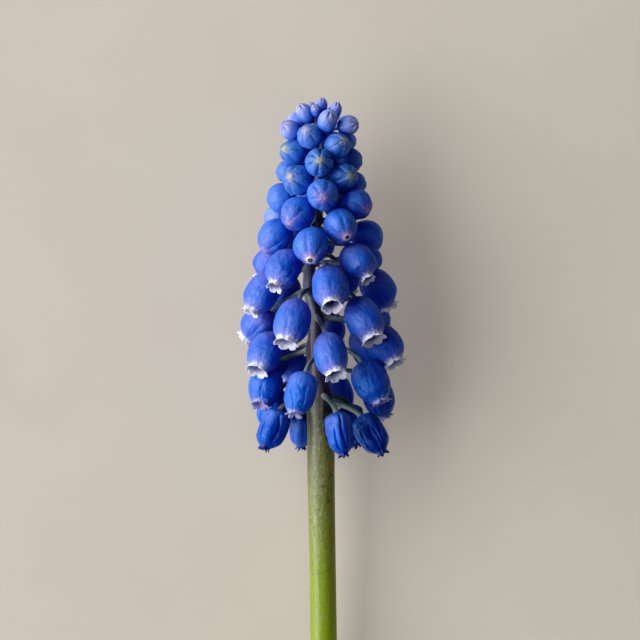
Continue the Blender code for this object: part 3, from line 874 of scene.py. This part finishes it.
def petal_finish(look, streaks, roughness=(0.42, 0.56), shine=0.45, relief=0.45, gloss=(1.0, 1.0, 1.0)):
    """Satin skin, finely ridged and softly dented. The gloss is the colour of its highlights."""
    ridges = look.noise((14, 14, 5))
    dents = look.noise((1.3, 1.3, 0.9), 1)
    height = look.sum(look.product(streaks, 0.7), look.product(ridges, 0.35))
    height = look.sum(height, look.product(dents, 2.2))
    look.relief(height, 0.16, relief)
    return look.finish(
        look.spread(look.noise((2, 2, 2)), *roughness),
        Specular_IOR_Level=shine,
        Specular_Tint=(*gloss, 1.0),
        Sheen_Weight=0.03,
        Sheen_Roughness=0.5,
        Sheen_Tint=(0.62, 0.70, 1.0, 1.0),
        Subsurface_Weight=0.1,
        Subsurface_Radius=(0.2, 0.35, 1.0),
        Subsurface_Scale=0.0006,
    )


def paint_star(look, reach, width, tint, heart):
    """The pale star where the tips of a closed bud meet: thin rays along its seams, and a soft glow."""
    wander = look.spread(look.noise((3, 3, 3)), -0.25, 0.25)
    off_axis = look.sum(look.value("off_axis"), wander)
    ray = look.step(look.value("off_seam"), width, 0.0)
    ray = look.faded(ray, off_axis, reach, look.product(reach, 0.35))
    glow = look.step(off_axis, look.product(reach, 0.8), 0.1)
    look.paint(glow, tint, heart)
    look.paint(ray, tint, 0.7)


def paint_crease_shade(look, start, width, depth):
    """Painted shade: dark lines in the seams between the lobes, where the grooves lie."""
    line = look.step(look.value("off_seam"), width, width * 0.2)
    line = look.faded(line, look.value("along"), start, start + 0.25)
    line = look.product(line, look.step(look.noise((0.9, 0.9, 0.5)), 0.42, 0.60))
    look.paint(line, (0.003, 0.008, 0.12), depth)


def paint_wrinkles(look, depth):
    """Short dark marks that run in towards the tip of a bud."""
    along = look.value("along")
    marks = look.step(look.noise((4.2, 4.2, 0.7), 2, 0.6), 0.55, 0.66)
    marks = look.faded(marks, along, 0.55, 0.75)
    marks = look.faded(marks, along, 0.99, 0.93)
    look.paint(marks, (0.006, 0.014, 0.15), depth)


def paint_blush(look, streaks, young):
    """A flush round the tip of a bud, violet on the older ones and green on the young ones."""
    off_axis = look.sum(look.value("off_axis"), look.product(streaks, 0.5))
    blush = look.step(off_axis, look.step(young, 0.0, 1.0, 1.9, 1.5), 0.7)
    look.paint(blush, look.mix(young, (0.13, 0.07, 0.42), (0.06, 0.11, 0.14)), 0.38)


def paint_pinhole(look, streaks):
    """The mouth of a bud that has just opened: a pale ring, a hole painted as dark shade on the closed tip,
    and the style in it.
    """
    pierced = look.value("pierced")
    off_axis = look.value("off_axis")
    halo = look.step(look.sum(off_axis, look.product(streaks, 0.3)), 1.35, 0.60)
    look.paint(look.product(halo, 0.55), (0.50, 0.36, 0.62), pierced)
    look.paint(look.step(off_axis, 0.72, 0.42), (0.66, 0.58, 0.64), pierced)
    rim = look.step(pierced, 0.5, 1.0, 0.27, 0.36)
    # Painted shade: a near-black disc on the closed tip for the shaded inside of the opening
    hole = look.step(off_axis, rim, look.sum(rim, -0.07))
    look.paint(look.faded(hole, pierced, 0.0, 0.4), (0.006, 0.003, 0.010))
    style = look.step(off_axis, 0.16, 0.10)
    look.paint(look.faded(style, pierced, 0.6, 1.0), (0.20, 0.19, 0.28))


def tip_bud_material():
    """Periwinkle, paler at the point, with an azure base on all but the topmost buds."""
    look = Look("tip_bud_petals")
    along = look.value("along")
    streaks = petal_colour(look, PETAL_BLUES["tip_bud"], 0.3, 0.0)
    base = look.faded(look.step(along, 0.68, 0.12), look.value("down"), 0.8, 2.6, 0.3)
    look.paint(base, (0.018, 0.135, 0.62), 0.8)
    paint_crease_shade(look, 0.84, 0.07, 0.4)
    look.paint(look.step(along, 0.62, 0.98), (0.40, 0.40, 0.72), 0.52)
    marks = look.step(look.noise((5, 5, 5), 2, 0.6), 0.56, 0.66)
    look.paint(look.faded(marks, along, 0.80, 0.95), (0.05, 0.06, 0.16), 0.6)
    paint_star(look, 0.5, 0.07, (0.44, 0.42, 0.56), 0.3)
    return petal_finish(look, streaks)


def bud_material():
    """Blue, with more green in it and a yellower star the younger the bud is."""
    look = Look("bud_petals")
    down = look.value("down")
    streaks = petal_colour(look, PETAL_BLUES["bud"], 0.4, 0.08)
    young = look.step(down, 11.6, 8.5)
    youngest = look.step(down, 6.3, 5)
    greenish = look.step(look.noise((0.7, 0.7, 0.7)), 0.35, 0.6, 0.1, 0.6)
    look.paint(greenish, (0.024, 0.125, 0.36), young)
    look.paint(youngest, (0.075, 0.165, 0.60), 0.7)
    paler = look.faded(look.step(down, 13, 11.5), down, 9, 6.5, 1.0, 0.5)
    look.paint(paler, (0.065, 0.165, 0.54), 0.35)
    # Painted light: paler blue on the marked buds that sit in the head's shade
    look.paint(look.value("painted_light"), (0.20, 0.28, 0.70), 0.85)
    paint_crease_shade(look, 0.50, 0.09, look.step(down, 4.9, 6, 0.15, 0.8))
    paint_wrinkles(look, look.step(down, 5, 9, 0.35, 0.7))
    paint_blush(look, streaks, young)
    tint = look.mix(look.step(down, 11.4, 10.2), (0.34, 0.25, 0.40), (0.31, 0.335, 0.20))
    tint = look.mix(youngest, tint, (0.42, 0.34, 0.52))
    heart = look.faded(look.step(young, 0.0, 1.0, 0.35, 0.55), youngest, 0.0, 1.0, 1.0, 0.65)
    paint_star(look, look.step(look.value("pierced"), 0.0, 0.4, 1.0, 0.6), 0.14, tint, heart)
    paint_pinhole(look, streaks)
    return petal_finish(look, streaks)


def open_material():
    """Deep blue that pales to a white edge, with a grey-blue cup."""
    look = Look("open_petals")
    along = look.value("along")
    streaks = petal_colour(look, PETAL_BLUES["open"], 0.5, 0.14)
    paint_crease_shade(look, 0.35, 0.07, 0.45)
    # Painted light: lighter lavender on the shoulders by the stalk, the tops of the hanging florets where
    # light falls
    look.paint(look.step(along, 0.55, 0.12), (0.15, 0.145, 0.50), 0.5)
    edge = look.sum(along, look.spread(streaks, -0.035, 0.035))
    look.paint(look.step(edge, 0.70, 0.89), (0.20, 0.20, 0.62), 0.46)
    look.paint(look.step(edge, 0.85, 0.965), (0.68, 0.70, 0.78))
    cup = look.mix(look.step(along, 0.93, 0.76), (0.47, 0.50, 0.66), (0.18, 0.18, 0.34))
    look.paint(look.value("inside"), cup)
    return petal_finish(look, streaks, relief=0.6)


def spent_material():
    """Deep blue with lavender teeth, darker on the old ones, with streaks of painted azure highlight on
    them.
    """
    look = Look("spent_petals")
    along = look.value("along")
    old = look.step(look.value("down"), 37, 39.5)
    streaks = petal_colour(look, PETAL_BLUES["spent"], 0.45, 0.14)
    aged = look.mix(look.step(streaks, 0.35, 0.65), *PETAL_BLUES["old"])
    look.paint(old, aged, 0.78)
    # Painted highlights: thin azure glints streaked along the old florets
    painted_glints = look.product(look.step(look.noise((5, 5, 0.6), 2, 0.6), 0.54, 0.68), old)
    look.paint(painted_glints, (0.008, 0.17, 0.84), 0.3)
    # Painted light: lighter blue on the shoulders by the stalk, the tops of the hanging florets where light
    # falls
    look.paint(look.step(along, 0.55, 0.12), (0.115, 0.18, 0.56), 0.42)
    # Painted shade: darker navy on the marked florets of the shaded right side
    look.paint(look.value("painted_shade"), (0.006, 0.034, 0.17), 0.6)
    # Painted light: paler azure on the marked florets that sit deep in the head's shade
    look.paint(look.value("painted_light"), (0.13, 0.23, 0.90), 0.85)
    look.paint(look.step(along, 0.16, 0.0), (0.03, 0.11, 0.22), 0.5)
    edge = look.sum(along, look.spread(streaks, -0.03, 0.03))
    teeth = look.mix(old, (0.32, 0.32, 0.60), (0.04, 0.04, 0.18))
    look.paint(look.step(edge, 0.86, 0.96), teeth, 0.85)
    look.paint(look.value("inside"), look.mix(old, (0.22, 0.20, 0.42), (0.05, 0.05, 0.20)))
    return petal_finish(look, streaks, (0.28, 0.40), 0.5, 0.65, (0.38, 0.66, 1.0))


def grain_material(name, darkest, palest, roughness):
    """For many small grains or scales, each of its own tone."""
    look = Look(name)
    tone = look.value("tone")
    look.colour = look.mix(tone, darkest, palest)
    return look.finish(look.step(tone, 0.0, 1.0, *roughness))


def stem_colour(look, height, lines):
    """Bright green low down, grey-green under the head, and brown to lilac-grey inside it."""
    patches = look.noise((0.5, 0.5, 0.12))
    green = look.mix(look.step(height, 8, 40), (0.22, 0.345, 0.010), (0.158, 0.230, 0.002))
    grey = look.mix(look.step(patches, 0.35, 0.65), (0.106, 0.119, 0.036), (0.143, 0.152, 0.060))
    inner = look.mix(look.spread(lines), (0.028, 0.028, 0.028), (0.062, 0.061, 0.058))
    upper = look.mix(look.spread(lines), (0.044, 0.038, 0.060), (0.105, 0.092, 0.135))
    # Lighter blue-grey at the top of the head: partly its own colour, partly painted light where the
    # florets shade it
    highest = look.mix(look.spread(lines), (0.13, 0.155, 0.22), (0.26, 0.30, 0.38))
    inner = look.mix(look.step(height, 62, 68), inner, upper)
    inner = look.mix(look.step(height, 73, 78), inner, highest)
    look.colour = look.mix(look.step(height, 40, 55), green, grey)
    # The rachis's own dark grey, begun a little below the head as painted shade of the florets above
    look.paint(look.step(height, 55.5, 64), inner)
    streaked = look.step(lines, 0.45, 0.75, 0.0, 0.35)
    look.paint(look.faded(streaked, height, 68, 60, 0.2), (0.20, 0.24, 0.08))


def paint_right_side_light(look, height, rightward):
    """Painted light on the right side, where bounce light falls: lighter, yellower green below the head and
    paler lilac inside it.
    """
    yellow = look.mix(look.step(height, 20, 56), (0.35, 0.46, 0.008), (0.270, 0.262, 0.070))
    below = look.faded(look.step(rightward, 0.0, 1.0), height, 64, 58)
    look.paint(below, yellow, 0.75)
    within = look.faded(look.step(rightward, -0.3, 0.7), height, 60, 66)
    look.paint(within, (0.16, 0.125, 0.185), 0.6)


def paint_flecks(look, height, specks):
    """Dark specks and pale flecks, most of them just under the head."""
    dark = look.faded(look.step(specks, 0.52, 0.68), height, 30, 54, 0.12)
    dark = look.faded(dark, height, 68, 58, 0.3)
    look.paint(dark, (0.026, 0.030, 0.012), 0.72)
    flecks = look.step(look.noise((3.9, 3.9, 1.9), 2, 0.6), 0.52, 0.66)
    flecks = look.faded(flecks, height, 66, 58, 0.2)
    flecks = look.faded(flecks, height, 28, 52, 0.35)
    look.paint(flecks, (0.33, 0.38, 0.18), 0.40)


def stem_material():
    look = Look("stem_skin")
    height = look.value("height")
    rightward = look.value("rightward")
    lines = look.noise((3.6, 3.6, 0.3), 3, 0.6)
    specks = look.noise((3.2, 3.2, 2.2), 3, 0.65)
    stem_colour(look, height, lines)
    paint_right_side_light(look, height, rightward)
    look.paint(look.step(height, 30, 4), (0.25, 0.31, 0.10), 0.5)
    paint_flecks(look, height, specks)
    # Painted shadow: the left side of the stem just under the head painted darker, where the florets shade
    # it
    darker = look.faded(look.step(height, 51, 57.5), height, 64, 60)
    darker = look.faded(darker, rightward, 0.2, -0.7)
    look.paint(darker, (0.045, 0.050, 0.028), 0.5)
    look.paint(look.step(look.value("cut"), 0.0, 0.06), (0.42, 0.48, 0.24))
    look.relief(look.sum(lines, specks), 0.07, 0.4)
    return look.finish(
        look.spread(lines, 0.32, 0.44),
        Specular_IOR_Level=0.42,
        Sheen_Weight=0.02,
        Subsurface_Weight=0.5,
        Subsurface_Radius=(1.0, 1.0, 0.35),
        Subsurface_Scale=0.0012,
    )


def pedicel_material():
    """Grey-green, bluer higher on the head, pale where a stalk leaves the stem, blue at its floret."""
    look = Look("pedicel_skin")
    along = look.value("along")
    down = look.value("down")
    lines = look.noise((6, 6, 1.5))
    look.colour = look.mix(look.spread(lines), (0.066, 0.110, 0.092), (0.135, 0.19, 0.155))
    bluish = look.mix(look.spread(lines), (0.085, 0.135, 0.165), (0.16, 0.23, 0.27))
    end = look.mix(look.spread(lines), (0.10, 0.12, 0.30), (0.16, 0.20, 0.42))
    look.paint(look.step(down, 37, 32), bluish)
    look.paint(look.step(along, 0.30, 0.12), (0.32, 0.31, 0.27), 0.55)
    look.paint(look.step(down, 18, 6), (0.14, 0.17, 0.36))
    look.paint(look.step(along, 0.80, 1.0), end)
    look.relief(lines, 0.06, 0.3)
    return look.finish(look.spread(lines, 0.45, 0.58), Sheen_Weight=0.2, Sheen_Roughness=0.5)


def floor_material():
    look = Look("pale_floor")
    place = look.node("ShaderNodeTexCoord").outputs["Object"]
    inputs = [("Vector", place), ("Scale", 60), ("Detail", 3)]
    grain = look.node("ShaderNodeTexNoise", inputs).outputs["Fac"]
    look.colour = look.mix(look.spread(grain), (0.31, 0.284, 0.249), (0.32, 0.294, 0.257))
    look.tree.links.new(look.colour, look.surface.inputs["Emission Color"])
    rough = look.spread(grain, 0.85, 0.95)
    return look.finish(rough, Emission_Strength=FLOOR_GLOW, Specular_IOR_Level=0.1)


def build_floor():
    mesh = bpy.data.meshes.new("floor")
    corners = [(x * FLOOR_HALF, y * FLOOR_HALF, 0) for x, y in ((-1, -1), (1, -1), (1, 1), (-1, 1))]
    mesh.from_pydata(corners, [], [(0, 1, 2, 3)])
    mesh.materials.append(floor_material())
    return linked("floor", mesh)


def add_light(name, place, aim, size, power, colour):
    data = bpy.data.lights.new(name, "AREA")
    data.shape = "RECTANGLE"
    data.size, data.size_y = size
    data.energy = power
    data.color = colour
    light = linked(name, data)
    light.location = place
    light.rotation_euler = (Vector(aim) - Vector(place)).to_track_quat("-Z", "Y").to_euler()


def light_scene():
    for light in LIGHTS:
        add_light(*light)
    world = bpy.data.worlds.new("studio")
    world.use_nodes = True
    background = world.node_tree.nodes["Background"]
    background.inputs["Color"].default_value = (*ROOM_COLOUR, 1)
    background.inputs["Strength"].default_value = ROOM_STRENGTH
    bpy.context.scene.world = world
    view = bpy.context.scene.view_settings
    view.view_transform = "Standard"
    view.use_curve_mapping = True
    for light, shown in TONES:
        view.curve_mapping.curves[3].points.new(light, shown)
    view.curve_mapping.update()


def add_camera():
    data = bpy.data.cameras.new("camera")
    data.sensor_width = SENSOR
    data.lens = SENSOR * VIEW_DISTANCE / VIEW_WIDTH
    camera = linked("camera", data)
    spot = Matrix.Translation(Vector((0, -VIEW_DISTANCE, VIEW_HEIGHT)) * MM)
    camera.matrix_world = PLACE @ spot @ Matrix.Rotation(math.radians(90), 4, "X")
    bpy.context.scene.camera = camera


def placing():
    """From the upright plant to where the solids lie."""
    low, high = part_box("scape")
    foot = SCAPE_LINE[0]
    aside = high.x - (foot[1] + foot[2]) * MM
    back = low.y + foot[2] * math.sin(math.radians(LEAN)) * MM
    return Matrix.Translation((aside, back, 0)) @ lay_down()


PLACE = placing()


def dress():
    draw = random.Random(SEED)
    shown = [place_bloom(Bloom(*row)) for row in BLOOMS]
    items = moved_apart(shown + place_back(shown))
    rolls = [draw.uniform(0, math.tau) for _item in items]
    florets = (
        build_florets(items, rolls, "tip_bud", "tip_buds", tip_bud_material()),
        build_florets(items, rolls, "bud", "closed_buds", bud_material()),
        build_florets(items, rolls, "open", "open_florets", open_material()),
        build_florets(items, rolls, "spent", "spent_florets", spent_material()),
    )
    grains = grain_material("anther_skin", (0.045, 0.035, 0.14), (0.10, 0.08, 0.22), (0.6, 0.7))
    anthers = build_anthers(items, rolls, grains)
    for piece in (*florets, anthers):
        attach(piece, "root")
        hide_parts("raceme")
    pedicels = build_pedicels(items, pedicel_material())
    scales = grain_material("bract_skin", (0.30, 0.29, 0.24), (0.46, 0.44, 0.40), (0.5, 0.6))
    bracts = build_bracts(items, scales)
    stem = build_stem(items, stem_material())
    for piece, nodes in ((pedicels, ["raceme"]), (bracts, ["raceme"]), (stem, ["scape", "raceme"])):
        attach(piece, "root")
        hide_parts(*nodes)


dress()
build_floor()
light_scene()
add_camera()
bpy.context.view_layer.update()
